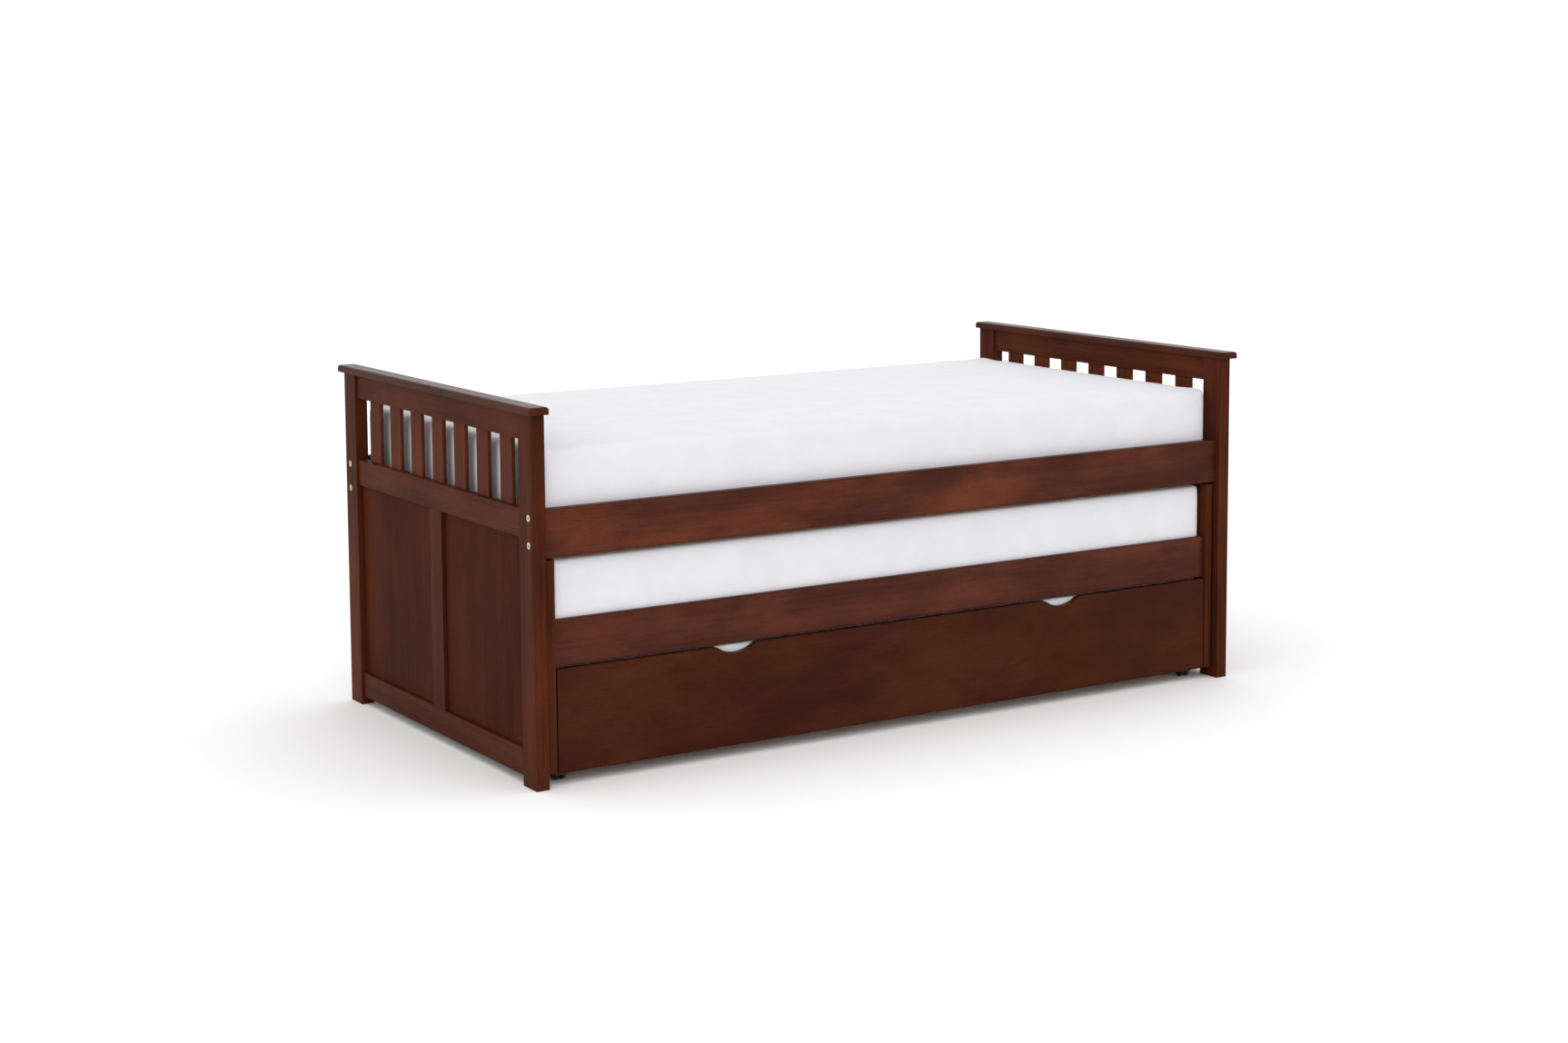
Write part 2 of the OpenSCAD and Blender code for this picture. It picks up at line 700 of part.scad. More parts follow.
caster_hood(caster_at(drawer_caster, LEFT, FRONT));  // drawer_left_front_hood
caster_wheels(caster_at(drawer_caster, LEFT, FRONT));  // drawer_left_front_wheels
caster_hood(caster_at(drawer_caster, LEFT, BACK));  // drawer_left_back_hood
caster_wheels(caster_at(drawer_caster, LEFT, BACK));  // drawer_left_back_wheels
caster_hood(caster_at(drawer_caster, RIGHT, FRONT));  // drawer_right_front_hood
caster_wheels(caster_at(drawer_caster, RIGHT, FRONT));  // drawer_right_front_wheels
caster_hood(caster_at(drawer_caster, RIGHT, BACK));  // drawer_right_back_hood
caster_wheels(caster_at(drawer_caster, RIGHT, BACK));  // drawer_right_back_wheels
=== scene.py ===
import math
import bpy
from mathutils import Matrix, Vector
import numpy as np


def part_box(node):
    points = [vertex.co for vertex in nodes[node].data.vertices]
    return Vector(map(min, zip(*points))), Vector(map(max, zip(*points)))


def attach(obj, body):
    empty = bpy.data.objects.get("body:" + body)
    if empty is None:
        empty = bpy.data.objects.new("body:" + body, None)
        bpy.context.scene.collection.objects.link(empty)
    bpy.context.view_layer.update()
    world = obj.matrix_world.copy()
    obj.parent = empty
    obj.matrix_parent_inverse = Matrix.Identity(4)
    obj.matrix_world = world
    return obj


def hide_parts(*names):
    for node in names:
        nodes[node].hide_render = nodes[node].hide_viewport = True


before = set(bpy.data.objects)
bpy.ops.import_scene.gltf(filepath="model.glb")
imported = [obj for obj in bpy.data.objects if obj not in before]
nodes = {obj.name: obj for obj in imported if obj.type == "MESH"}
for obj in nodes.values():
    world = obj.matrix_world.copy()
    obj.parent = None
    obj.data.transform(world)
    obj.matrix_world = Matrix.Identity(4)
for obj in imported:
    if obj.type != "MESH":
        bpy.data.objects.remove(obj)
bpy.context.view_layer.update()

# %% [markdown]
# # A captain's bed with a pull-out bed and a trundle drawer
# The hard pieces of this bed (posts, rails, slats, bolts, casters) come in as exact solids that
# already stand where they belong. What is left to do is what a solid can't carry: eased edges,
# stained wood, nylon, metal, and three mattresses that look stuffed instead of cut from a block.
# All lengths are in metres. X runs along the bed, Y goes back from the front, and Z is up.

scene = bpy.context.scene

# %% [markdown]
# ## Eased edges
# Nobody leaves a sawn arris on a bed that children climb: every edge is sanded to a small round,
# and that round is what catches the light as a thin bright line. The solids have perfectly sharp
# edges. Modelling each round by hand would take hundreds of cuts, so a Bevel modifier makes them
# wherever two faces meet at more than 35 degrees. The solids' triangles are loose, so a Weld
# modifier joins them first. The widths are in metres, and the first word found in a piece's name
# gives its width.


# %% Round the edges of every hard piece
def ease_edges(piece, width):
    """Weld, then a Bevel of the given width on every edge sharper than SHARP."""
    weld = piece.modifiers.new("join triangles", "WELD")
    weld.merge_threshold = 1e-5
    bevel = piece.modifiers.new("eased edges", "BEVEL")
    bevel.limit_method = "ANGLE"
    bevel.angle_limit = SHARP
    bevel.width = width
    bevel.segments = 2
    piece.data.shade_smooth()
    smooth = piece.modifiers.new("face normals", "WEIGHTED_NORMAL")
    smooth.keep_sharp = False


SHARP = math.radians(35)
EASE = {
    "post": 0.0022, "rail": 0.0020, "spindles": 0.0018, "stiles": 0.0012, "panels": 0.0005,
    "front": 0.0025, "slats": 0.0015, "ledgers": 0.0010, "runners": 0.0010,
    "bolts": 0.0005, "hood": 0.0004, "wheels": 0.0004, "": 0.0003,
}
hard = {name: piece for name, piece in nodes.items() if "mattress" not in name}
for name, piece in hard.items():
    ease_edges(piece, next(width for word, width in EASE.items() if word in name))
print("eased:", len(hard))

# %% [markdown]
# ## A small language for finishes
# A finish in Blender is a web of nodes. Wiring it by hand hides the idea, so two small classes
# let a finish be written as arithmetic: `Wire` wraps an output socket and turns `+ - * **` into
# Math nodes, and `Finish` makes a material and any other node in one call. Colours go through
# Mix nodes, because a Math node would turn them grey.


# %% Wire and Finish
class Wire:
    """An output socket that can be added, multiplied and so on, each adding one Math node."""

    def __init__(self, finish, socket):
        self.finish, self.socket = finish, socket

    def math(self, operation, *values):
        return self.finish.node("ShaderNodeMath", {"operation": operation}, dict(enumerate(values)))

    def __add__(self, other):
        return self.math("ADD", self, other)

    def __radd__(self, other):
        return self.math("ADD", other, self)

    def __sub__(self, other):
        return self.math("SUBTRACT", self, other)

    def __rsub__(self, other):
        return self.math("SUBTRACT", other, self)

    def __mul__(self, other):
        return self.math("MULTIPLY", self, other)

    def __rmul__(self, other):
        return self.math("MULTIPLY", other, self)

    def __pow__(self, other):
        return self.math("POWER", self, other)

    def sine(self):
        return self.math("SINE", self)

    def between(self, low, high):
        """0 below low, 1 above high, and a smooth ramp from one to the other."""
        return self.finish.node(
            "ShaderNodeMapRange", {"interpolation_type": "SMOOTHSTEP", "clamp": True},
            {"Value": self, "From Min": low, "From Max": high})


class Finish:
    """A new material with one Principled BSDF, and methods that add nodes to it."""

    def __init__(self, name, **constants):
        self.material = bpy.data.materials.new(name)
        self.material.use_nodes = True
        self.tree = self.material.node_tree
        self.tree.nodes.clear()
        self.skin = self.tree.nodes.new("ShaderNodeBsdfPrincipled")
        out = self.tree.nodes.new("ShaderNodeOutputMaterial")
        self.tree.links.new(self.skin.outputs[0], out.inputs[0])
        for socket, value in constants.items():
            self.skin.inputs[socket.replace("_", " ")].default_value = value

    def node(self, kind, settings=None, values=None, out=0):
        """Adds one node: its settings first, then a value or a wire for each socket."""
        made = self.tree.nodes.new(kind)
        for key, value in (settings or {}).items():
            setattr(made, key, value)
        for key, value in (values or {}).items():
            self.feed(made.inputs[key], value)
        return Wire(self, made.outputs[out])

    def feed(self, socket, value):
        if isinstance(value, Wire):
            self.tree.links.new(value.socket, socket)
        else:
            socket.default_value = value

    def place(self):
        """Where a point lies on the object, in metres, as a vector wire."""
        return self.node("ShaderNodeTexCoord", out="Object")

    def stretch(self, vector, scale):
        return self.node("ShaderNodeVectorMath", {"operation": "MULTIPLY"}, {0: vector, 1: scale})

    def parts(self, vector):
        """The x, y and z of a vector wire."""
        split = self.node("ShaderNodeSeparateXYZ", values={0: vector}).socket.node
        return [Wire(self, split.outputs[i]) for i in range(3)]

    def noise(self, vector, scale, detail=3.0, roughness=0.5, distortion=0.0):
        return self.node("ShaderNodeTexNoise", {"noise_dimensions": "3D"}, {
            "Vector": vector, "Scale": scale, "Detail": detail,
            "Roughness": roughness, "Distortion": distortion})

    def mix(self, factor, a, b):
        """A colour that goes from a to b with the factor."""
        return self.node("ShaderNodeMix", {"data_type": "RGBA"}, {0: factor, 6: a, 7: b}, out=2)

    def finish(self, **wires):
        for socket, wire in wires.items():
            self.feed(self.skin.inputs[socket.replace("_", " ")], wire)
        return self.material

    def bump(self, height, distance, strength=1.0):
        return self.node("ShaderNodeBump", values={
            "Height": height, "Distance": distance, "Strength": strength})


def rgb(r, g, b):
    """A colour given as screen values from 0 to 255, turned into linear light with alpha 1."""
    c = np.array([r, g, b]) / 255
    linear = np.where(c <= 0.04045, c / 12.92, ((c + 0.055) / 1.055) ** 2.4)
    return (*(float(v) for v in linear), 1.0)


print("a mid grey in linear light:", [round(v, 3) for v in rgb(128, 128, 128)])

# %% [markdown]
# ## Dark cherry stain on rubberwood
# The bed is a pale hardwood under a dark cherry stain and a satin lacquer. Three things happen
# at three scales. Long streaks of the wood's own grain run along each board. The stain soaks in
# unevenly, which leaves soft lighter and darker clouds, a hand wide and more. Fine pores leave
# short dark dashes along the grain and faintly roughen the lacquer. Each is a noise texture,
# stretched along the grain so that a round blotch becomes a long streak. The grain turns with
# the board: upright on posts, lengthways on rails.

# %% The stained wood
# width of the painted shade line along a board's top and bottom edges
EDGE_SHADE = 0.006
PORE = (0.004, 0.002, 0.001, 1.0)


def with_grain(axis, amount):
    """The scale (1, 1, 1) with amount in place of the 1 of the axis the grain runs along."""
    return tuple(amount if letter == axis else 1.0 for letter in "xyz")


def heights(node):
    """The heights of a board's lower and upper edge."""
    low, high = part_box(node)
    return low[2], high[2]


def stained_wood(name, grain, dark, middle, light, streaks=0.6, cloud=0.4, cloud_size=4.0,
                 fleck=0.3, dull=0.36, sheen=0.018, lacquer=0.008, tint=None, edges=None):
    """Streaks, clouds and pores. Each is noise at p * s, where s is 1 across the grain and a
    small number along it, and the colour goes dark -> middle -> light as they add up. tint is
    a second hue that drifts in and out over half a metre. edges = (low, high) gives the heights
    of a board's two edges, where a dark line 6 mm wide is painted on as shade along each edge."""
    wood = Finish(name, IOR=1.45, Coat_Roughness=0.16, Specular_IOR_Level=sheen)
    p = wood.place()

    def along(amount):
        return wood.stretch(p, with_grain(grain, amount))

    streak = wood.noise(along(0.035), 120.0, detail=5.0, roughness=0.65, distortion=0.25)
    broad = wood.noise(along(0.06), 24.0, detail=3.0, roughness=0.5, distortion=0.5)
    clouds = wood.noise(along(0.50), cloud_size, detail=5.0, roughness=0.6, distortion=0.2)
    pores = wood.noise(along(0.03), 700.0, detail=2.0, roughness=0.6)
    mottle = wood.noise(along(0.8), 190.0, detail=2.0, roughness=0.6)

    figure = (streak * 0.6 + broad * 0.4).between(0.34, 0.68)
    shade = wood.mix(figure * streaks + (0.87 - streaks) * 0.6, dark, middle)
    if tint:
        drift = wood.noise(p, 2.6, detail=3.0, distortion=0.4)
        shade = wood.mix(drift.between(0.40, 0.66), shade, wood.mix(0.5, tint, shade))
    shade = wood.mix(clouds.between(0.42, 0.74) * cloud, shade, light)
    shade = wood.mix(clouds.between(0.50, 0.26) * (cloud * 0.8), shade, dark)
    dash = pores.between(0.56, 0.70) * fleck
    speck = mottle.between(0.50, 0.72) * (fleck * 0.5)
    shade = wood.mix(dash + speck, shade, wood.mix(0.55, dark, PORE))
    # painted shade: the colour darkens towards the board's top and bottom edges, over a 6 mm line
    if edges:
        low, high = edges
        height = wood.parts(p)[2]
        inside = height.between(low, low + EDGE_SHADE) * height.between(high, high - EDGE_SHADE)
        shade = wood.mix((1 - inside) * 0.5, shade, dark)

    rough = dull + (streak - 0.5) * 0.16 + dash * 0.18
    relief = streak * 0.35 + (1 - dash) * 0.65 + mottle * 0.2
    return wood.finish(
        Base_Color=shade, Roughness=rough, Coat_Weight=lacquer * (1 - dash),
        Normal=wood.bump(relief, 0.00016, 0.5))


DARK, MIDDLE, LIGHT = rgb(50, 20, 10), rgb(85, 42, 26), rgb(106, 52, 29)
WOODS = {
    "cap": stained_wood(
        "stained cap rail", "y", rgb(44, 18, 10), rgb(76, 38, 25), rgb(92, 46, 28),
        cloud=0.35, dull=0.26, sheen=0.03, lacquer=0.05),
    "frame_y": stained_wood(
        "stained frame, grain along y", "y", DARK, MIDDLE, LIGHT, cloud=0.38),
    "frame_z": stained_wood("stained frame, grain upright", "z", DARK, MIDDLE, LIGHT),
    "spindle": stained_wood(
        "stained spindle", "z", rgb(60, 25, 12), rgb(102, 52, 34), rgb(120, 62, 36)),
    "side_rail": stained_wood(
        "stained side rail", "x", rgb(52, 20, 10), rgb(90, 43, 26), rgb(110, 54, 30),
        streaks=0.5, cloud=0.72, cloud_size=6.0, sheen=0.08, lacquer=0.04,
        edges=heights("front_side_rail")),
    "pullout_rail": stained_wood(
        "stained pull-out rail", "x", rgb(50, 19, 12), rgb(86, 41, 27), rgb(102, 50, 31),
        streaks=0.5, cloud=0.7, cloud_size=6.0, sheen=0.08, lacquer=0.04,
        edges=heights("pullout_front_rail")),
    "panel": stained_wood(
        "stained plywood", "z", rgb(46, 19, 9), rgb(75, 34, 20), rgb(90, 43, 23),
        streaks=0.5, cloud=0.45, cloud_size=3.0, dull=0.42, sheen=0.012, lacquer=0.0),
    "front": stained_wood(
        "stained drawer front", "x", rgb(46, 16, 8), rgb(68, 29, 19), rgb(80, 39, 18),
        streaks=0.3, cloud=0.65, cloud_size=7.0, fleck=0.4, dull=0.38, sheen=0.05, lacquer=0.02,
        tint=rgb(68, 33, 3), edges=heights("drawer_front")),
}
print("wood finishes:", sorted(WOODS))

# %% [markdown]
# ## Plain pine for the parts that lie under a mattress
# Slats, ledgers and runner boards are planed softwood with no stain. Pine shows wide, pale
# growth bands with narrow darker lines between them. A sine of the distance across the board,
# bent by noise, gives those lines, and a fine stretched noise gives the fibres.


# %% Pine
def planed_pine(name, grain):
    """Growth lines: ((1 + sine(420 * (x + y + z) + 26 * noise)) / 2) cubed darkens pale wood,
    where the coordinate along the grain counts for a twentieth."""
    pine = Finish(name, IOR=1.45, Specular_IOR_Level=0.3)
    q = pine.stretch(pine.place(), with_grain(grain, 0.05))
    warp = pine.noise(q, 9.0, detail=3.0, distortion=0.4)
    x, y, z = pine.parts(q)
    across = x + y + z
    line = ((across * 420.0 + warp * 26.0).sine() * 0.5 + 0.5) ** 3.0
    fibre = pine.noise(q, 700.0, detail=2.0)
    shade = pine.mix(line * 0.55, rgb(214, 184, 140), rgb(178, 130, 82))
    shade = pine.mix(fibre.between(0.45, 0.75) * 0.3, shade, rgb(158, 116, 76))
    return pine.finish(Base_Color=shade, Roughness=0.62 - line * 0.1,
                       Normal=pine.bump(line * 0.3 + fibre, 0.0002, 0.5))


PINE = {axis: planed_pine("planed pine along " + axis, axis) for axis in "xy"}
print("pine finishes:", len(PINE))

# %% [markdown]
# ## Metal and nylon
# Bolt heads are satin nickel: a warm, bright grey that goes dull in small clouds, under fine
# scratches. Zinc-plated screws, nuts and caster plates are made the same way, cooler and
# rougher. The casters are moulded black nylon, which is never quite black: it has a fine grain
# from the mould, and dust greys it, most of all on the treads.


# %% Metal and nylon
def plated(name, bright, dull, rough):
    """Two greys mixed by a cloudy noise, with fine scratches in the roughness."""
    metal = Finish(name, Metallic=1.0)
    p = metal.place()
    cloud = metal.noise(p, 140.0, detail=3.0)
    scratch = metal.noise(metal.stretch(p, (1.0, 1.0, 9.0)), 900.0, detail=2.0)
    return metal.finish(
        Base_Color=metal.mix(cloud.between(0.35, 0.7), bright, dull),
        Roughness=rough + (scratch - 0.5) * 0.2,
        Normal=metal.bump(scratch, 0.00004, 0.4))


def moulded_nylon(name, base, dust, rough):
    """Near-black plastic, with a leathery mould grain and patches of grey dust."""
    nylon = Finish(name, IOR=1.5, Specular_IOR_Level=0.4)
    p = nylon.place()
    grain = nylon.noise(p, 1400.0, detail=2.0)
    dusty = nylon.noise(p, 90.0, detail=4.0).between(0.5, 0.8) * 0.5
    return nylon.finish(Base_Color=nylon.mix(dusty, base, dust),
                        Roughness=rough + dusty * 0.3,
                        Normal=nylon.bump(grain, 0.00006, 0.5))


NICKEL = plated("satin nickel", rgb(214, 204, 180), rgb(178, 168, 144), 0.30)
ZINC = plated("zinc plate", rgb(205, 206, 204), rgb(160, 162, 162), 0.38)
HOOD = moulded_nylon("moulded black nylon", rgb(24, 24, 25), rgb(70, 68, 66), 0.42)
TREAD = moulded_nylon("nylon tread", rgb(30, 30, 31), rgb(92, 88, 84), 0.5)
print("metals and nylons ready")

# %% [markdown]
# ## Which finish goes on which piece
# The grain of a board runs along its length, so each wooden piece gets the version of the stain
# that is turned its way. The first word of the table that is found in a piece's name decides.

# %% Hand out the finishes
FINISHES = {
    "wheels": TREAD, "hood": HOOD, "caster_plates": ZINC, "screws": ZINC, "barrel_nuts": ZINC,
    "bolts": NICKEL, "ledgers": PINE["x"], "slats": PINE["y"], "cross_rails": PINE["y"],
    "drawer_long_rails": PINE["x"], "runners": WOODS["frame_y"], "drawer_front": WOODS["front"],
    "panels": WOODS["panel"], "stiles": WOODS["frame_z"], "spindles": WOODS["spindle"],
    "cap_rail": WOODS["cap"], "post": WOODS["frame_z"], "end_rails": WOODS["frame_y"],
    "side_rail": WOODS["side_rail"], "pullout_front_rail": WOODS["pullout_rail"],
    "pullout_back_rail": WOODS["pullout_rail"], "rail": WOODS["frame_y"],
}


def dress(piece, material):
    piece.data.materials.clear()
    piece.data.materials.append(material)


for name, piece in hard.items():
    dress(piece, next(finish for word, finish in FINISHES.items() if word in name))
print("dressed:", len(hard))

# %% [markdown]
# ## The mattresses
# Each is foam in a knitted white cover: a wide slab with rounded upright corners, softly rolled
# top and bottom edges where the side band is sewn to the panels, and faces that swell a little
# between those seams. The first step is the slab itself, before it is stuffed. A box with an
# even grid on all six faces is bent to a round: a grid point is pulled back to the nearest
# point of an inner box, and then pushed out again by the radius in that direction.


# %% An even grid on a box with rolled edges
TINY = 1e-9
ROWS = np.array([0.0, 0.004, 0.008, 0.012, 0.018, 0.030])


def rulings(half, step):
    """Grid lines from -half to half: close together at both ends, about step apart between."""
    inner = half - ROWS[-1]
    even = np.linspace(-inner, inner, max(int(round(2 * inner / step)), 2) + 1)
    return np.concatenate([-half + ROWS[:-1], even, half - ROWS[-2::-1]])


def box_grid(half, step):
    """Points and quads of a closed box of half sizes half, ruled along each axis.
    A point is kept if any of its three grid numbers is at an end."""
    lines = [rulings(h, step) for h in half]
    n = [len(line) - 1 for line in lines]
    i, j, k = np.meshgrid(*(np.arange(c + 1) for c in n), indexing="ij")
    shell = (i % n[0] == 0) | (j % n[1] == 0) | (k % n[2] == 0)
    number = np.full(shell.shape, -1)
    number[shell] = np.arange(shell.sum())
    points = np.stack([line[grid[shell]] for line, grid in zip(lines, (i, j, k))], 1)
    quads = []
    for axis in range(3):
        for end in (0, n[axis]):
            face = np.take(number, end, axis=axis)
            a, b, c, d = face[:-1, :-1], face[1:, :-1], face[1:, 1:], face[:-1, 1:]
            ring = np.stack([a, b, c, d] if (end > 0) ^ (axis == 1) else [d, c, b, a], -1)
            quads.append(ring.reshape(-1, 4))
    return points, np.concatenate(quads)


def rolled(points, half, corner, edge):
    """Each point p goes to q + r * (p - q) / |p - q|. The upright corners use the radius
    corner in plan first, and then the top and bottom edges use the radius edge."""
    p = points.copy()
    inner = np.clip(p[:, :2], -(half[:2] - corner), half[:2] - corner)
    out = p[:, :2] - inner
    reach = np.abs(out).max(1)
    length = np.maximum(np.linalg.norm(out, axis=1), TINY)
    p[:, :2] = inner + out * (reach / length)[:, None]
    plan_gap = corner - reach
    depth = half[2] - np.abs(p[:, 2])
    near = (plan_gap < edge) & (depth < edge)
    u, v = 1 - plan_gap / edge, 1 - depth / edge
    big = np.maximum(u, v)
    size = np.maximum(np.hypot(u, v), TINY)
    u2, v2 = u * big / size, v * big / size
    direction = out / length[:, None]
    p[near, :2] = (inner + direction * (corner - edge * (1 - u2))[:, None])[near]
    p[near, 2] = (np.sign(p[:, 2]) * (half[2] - edge * (1 - v2)))[near]
    return p


def mesh_piece(name, points, quads):
    mesh = bpy.data.meshes.new(name)
    mesh.from_pydata(points.tolist(), [], quads.tolist())
    mesh.validate()
    mesh.shade_smooth()
    piece = bpy.data.objects.new(name, mesh)
    scene.collection.objects.link(piece)
    return piece


test_points, test_quads = box_grid(np.array([0.9, 0.4, 0.1]), 0.05)
print("a test slab has", len(test_points), "points and", len(test_quads), "quads")

# %% [markdown]
# ## Stuffing them
# A cover bulges because the foam in it pushes out while the seams hold it in. Cloth simulation
# does just that: pressure inside, and the two seam lines pinned. After twenty frames the
# swelling has all but settled. Left alone it comes to several centimetres, far more than stiff
# foam allows. So the simulation gives the way each point goes, and a cap of a few millimetres
# decides how far. The underside is laid flat on its slats again. The upper half of the pull-out
# bed's mattress stands clear of its low rails, so there its long sides lean over them.


# %% Pressure, pinned seams and a cap
def stuff(piece, pinned, pressure=4.0, frames=20):
    """Runs the Cloth modifier with inner pressure and returns the settled points."""
    group = piece.vertex_groups.new(name="seams")
    group.add(np.flatnonzero(pinned).tolist(), 1.0, "REPLACE")
    cloth = piece.modifiers.new("stuffing", "CLOTH")
    s = cloth.settings
    s.quality = 4
    s.mass = 0.4
    s.tension_stiffness = s.compression_stiffness = 60.0
    s.shear_stiffness = 30.0
    s.bending_stiffness = 3.0
    s.use_pressure = True
    s.uniform_pressure_force = pressure
    s.effector_weights.gravity = 0.0
    s.vertex_group_mass = "seams"
    cloth.collision_settings.use_collision = False
    cloth.collision_settings.use_self_collision = False
    cloth.point_cache.frame_start, cloth.point_cache.frame_end = 1, frames
    for frame_number in range(1, frames + 1):
        scene.frame_set(frame_number)
    settled = piece.evaluated_get(bpy.context.evaluated_depsgraph_get()).data
    moved = np.empty(len(settled.vertices) * 3)
    settled.vertices.foreach_get("co", moved)
    piece.modifiers.remove(cloth)
    piece.vertex_groups.remove(group)
    scene.frame_set(1)
    return moved.reshape(-1, 3)


def smooth_step(x, low, high):
    t = np.clip((x - low) / (high - low), 0, 1)
    return t * t * (3 - 2 * t)


SEAM = 0.018  # how far each seam lies from the top or the bottom
SKIN = 0.001  # how far inside the solid the cover starts
GROOVE = 0.0007  # how deep a seam draws the cover in
GRID_STEP = 0.026
SOFT_CAP = 0.008  # the push at which the cap begins to hold it back


def lean(shape, flat, slim, top, height, amount):
    """Spreads the long sides by amount above height, and a little less just under the top."""
    roll = smooth_step(shape[:, 2], height, height + 0.006)
    roll *= 1 - 0.15 * smooth_step(shape[:, 2], top - 0.02, top)
    side = smooth_step(np.abs(flat[:, 1]) / slim[1], 0.90, 1.0)
    shape[:, 1] += np.sign(flat[:, 1]) * roll * side * amount


def build_mattress(name, node, body, rise, room, spread=None, edge=0.012, corner=0.018):
    """A stuffed slab in the space of the solid called node. rise is how far the top may crown,
    room how far the sides may swell, and spread = (height, amount) how far the long sides
    lean outwards above that height."""
    low, high = (np.array(c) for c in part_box(node))
    middle, half = (low + high) / 2, (high - low) / 2
    slim = half - SKIN
    points, quads = box_grid(slim, GRID_STEP)
    flat = rolled(points, slim, corner, edge)
    piece = mesh_piece(name, flat, quads)

    depth = slim[2] - np.abs(points[:, 2])
    sideways = np.abs(points[:, :2]) > slim[:2] - 1e-6
    on_side = np.any(sideways, axis=1)
    pinned = on_side & (np.abs(depth - SEAM) < 0.002)
    push = stuff(piece, pinned) - flat
    reach = np.linalg.norm(push, axis=1, keepdims=True)
    push *= np.tanh(reach / SOFT_CAP) / np.maximum(reach, TINY) * np.array([room, room, rise])
    push[flat[:, 2] < -slim[2] + 0.002] *= (1, 1, 0)

    shape = flat + push
    shape[:, 2] = np.maximum(shape[:, 2], -slim[2])
    groove = on_side & (np.abs(depth - SEAM) < 0.001)
    shape[groove, :2] -= np.sign(flat[groove, :2]) * GROOVE * sideways[groove]
    shape += middle
    if spread:
        lean(shape, flat, slim, high[2], *spread)
    piece.data.vertices.foreach_set("co", shape.ravel())
    piece.data.update()

    smooth = piece.modifiers.new("fine cover", "SUBSURF")
    smooth.levels = smooth.render_levels = 1
    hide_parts(node)
    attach(piece, body)
    print(name, "points", len(shape), "push before the cap", round(float(reach.max()), 3), "m")
    return piece


rail_top = heights("pullout_front_rail")[1]
MATTRESSES = [
    build_mattress("upper_mattress_cover", "upper_mattress", "bed_frame", 0.005, 0.004),
    build_mattress("pullout_mattress_cover", "middle_mattress", "pullout_bed", 0.003, 0.002,
                   spread=(rail_top - 0.028, 0.013), edge=0.008, corner=0.012),
    build_mattress("drawer_mattress_cover", "lower_mattress", "trundle_drawer", 0.002, 0.002,
                   edge=0.007, corner=0.008),
]

# %% [markdown]
# ## The knitted cover
# A mattress cover is a fine white knit. From across a room it is a flat, faintly cool white. Up
# close there are rows of stitches, 1.4 mm apart. The rows are the product of two sines across
# the cloth, which feeds the bump and very faintly the colour. A soft noise makes the white
# uneven by a hair, as cloth is.


# %% White knit
PERIOD = 0.0028


def knitted_cover():
    """Stitches: (1 + sine(y + z) * sine(x + 0.37 * y)) / 2, with a period of PERIOD."""
    knit = Finish("white knitted cover", IOR=1.4, Specular_IOR_Level=0.15, Sheen_Weight=0.25,
                  Sheen_Roughness=0.5)
    p = knit.place()
    x, y, z = knit.parts(p)
    turns = 2 * math.pi / PERIOD
    rows = (y + z) * turns
    columns = (x + y * 0.37) * turns
    stitch = rows.sine() * columns.sine() * 0.5 + 0.5
    lumps = knit.noise(p, 14.0, detail=3.0)
    thread = knit.noise(p, 900.0, detail=2.0)
    shade = knit.mix(lumps.between(0.3, 0.7), rgb(214, 213, 218), rgb(218, 217, 221))
    shade = knit.mix(stitch.between(0.0, 0.3) * 0.04, shade, rgb(200, 200, 208))
    return knit.finish(Base_Color=shade, Roughness=0.82 + (thread - 0.5) * 0.1,
                       Normal=knit.bump(stitch * 0.6 + thread * 0.4 + lumps * 1.5, 0.0002, 0.3))


cover = knitted_cover()
for piece in MATTRESSES:
    dress(piece, cover)
print("covered:", [p.name for p in MATTRESSES])

# %% [markdown]
# ## Floor, light and camera
# The bed stands in a white studio. A large pale floor and a white world give the soft, even
# light of a product room. One wide panel of light from the front, a weaker one from the left and
# a faint one overhead make the stain shine and keep the upright faces a little apart in tone.


# %% Floor
def studio_floor():
    half, lines = 30.0, 5
    grid = np.linspace(-half, half, lines)
    x, y = np.meshgrid(grid, grid, indexing="ij")
    points = np.stack([x.ravel(), y.ravel(), np.zeros(x.size)], 1)
    number = np.arange(lines * lines).reshape(lines, lines)
    quads = np.stack([number[:-1, :-1], number[1:, :-1], number[1:, 1:], number[:-1, 1:]], -1)
    floor = mesh_piece("studio_floor", points, quads.reshape(-1, 4))
    paint = Finish("studio floor", Roughness=0.9, Specular_IOR_Level=0.1)
    speck = paint.noise(paint.place(), 3.0, detail=2.0)
    dress(floor, paint.finish(Base_Color=paint.mix(
        speck, (0.95, 0.95, 0.95, 1.0), (0.97, 0.97, 0.97, 1.0))))
    return floor


studio_floor()

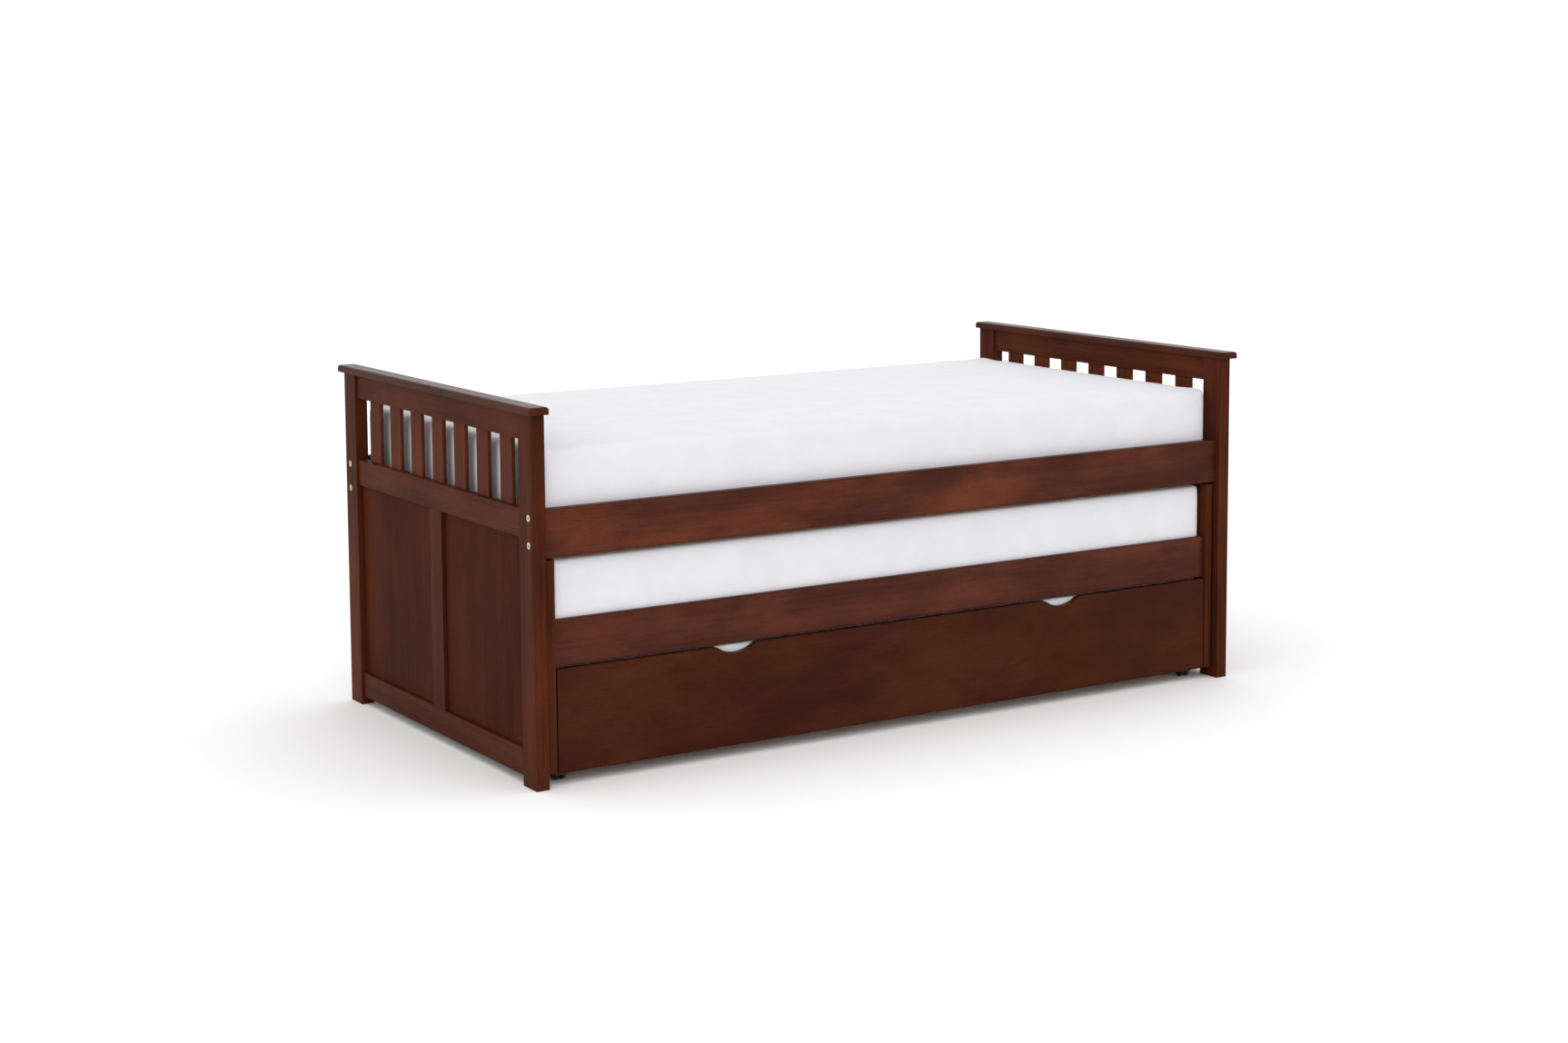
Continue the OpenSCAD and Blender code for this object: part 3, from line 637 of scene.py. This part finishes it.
# %% Light
world = bpy.data.worlds.new("white room")
world.use_nodes = True
world.node_tree.nodes["Background"].inputs["Color"].default_value = (1.0, 1.0, 1.0, 1.0)
world.node_tree.nodes["Background"].inputs["Strength"].default_value = 1.12
scene.world = world


def softbox(name, place, aim, width, height, watts):
    """A panel of light at place that faces aim."""
    lamp = bpy.data.lights.new(name, "AREA")
    lamp.shape, lamp.size, lamp.size_y, lamp.energy = "RECTANGLE", width, height, watts
    holder = bpy.data.objects.new(name, lamp)
    scene.collection.objects.link(holder)
    holder.location = place
    direction = np.array(aim) - np.array(place)
    holder.rotation_euler = (
        math.atan2(math.hypot(direction[0], direction[1]), -direction[2]), 0.0,
        math.atan2(direction[1], direction[0]) - math.pi / 2)
    return holder


softbox("front panel", (-1.6, -5.6, 3.2), (0.2, 0.0, 0.4), 4.0, 2.2, 46.0)
softbox("left panel", (-5.5, -2.0, 2.6), (0.2, 0.0, 0.5), 2.5, 2.0, 14.0)
softbox("top panel", (0.5, 0.2, 4.5), (0.0, 0.0, 0.4), 3.5, 2.5, 4.0)
scene.view_settings.view_transform = "Standard"

# %% Camera
YAW, PITCH, ROLL = (math.radians(a) for a in (32.231, 6.248, -0.339))
STAND = (-3.5571, -5.5953, 1.5779)
FOCAL = 59.21
SHIFT = -0.10
forward = np.array([math.sin(YAW) * math.cos(PITCH), math.cos(YAW) * math.cos(PITCH),
                    -math.sin(PITCH)])
level = np.array([math.cos(YAW), -math.sin(YAW), 0.0])
upward = np.cross(level, forward)
right = level * math.cos(ROLL) + upward * math.sin(ROLL)
upright = upward * math.cos(ROLL) - level * math.sin(ROLL)

lens = bpy.data.cameras.new("studio camera")
lens.sensor_width, lens.lens, lens.shift_y = 36.0, FOCAL, SHIFT
lens.clip_end = 200.0
camera = bpy.data.objects.new("studio camera", lens)
scene.collection.objects.link(camera)
turn = np.eye(4)
turn[:3, :3] = np.stack([right, upright, -forward], 1)
turn[:3, 3] = STAND
camera.matrix_world = Matrix(turn.tolist())
scene.camera = camera
print("camera at", [round(v, 3) for v in turn[:3, 3]])
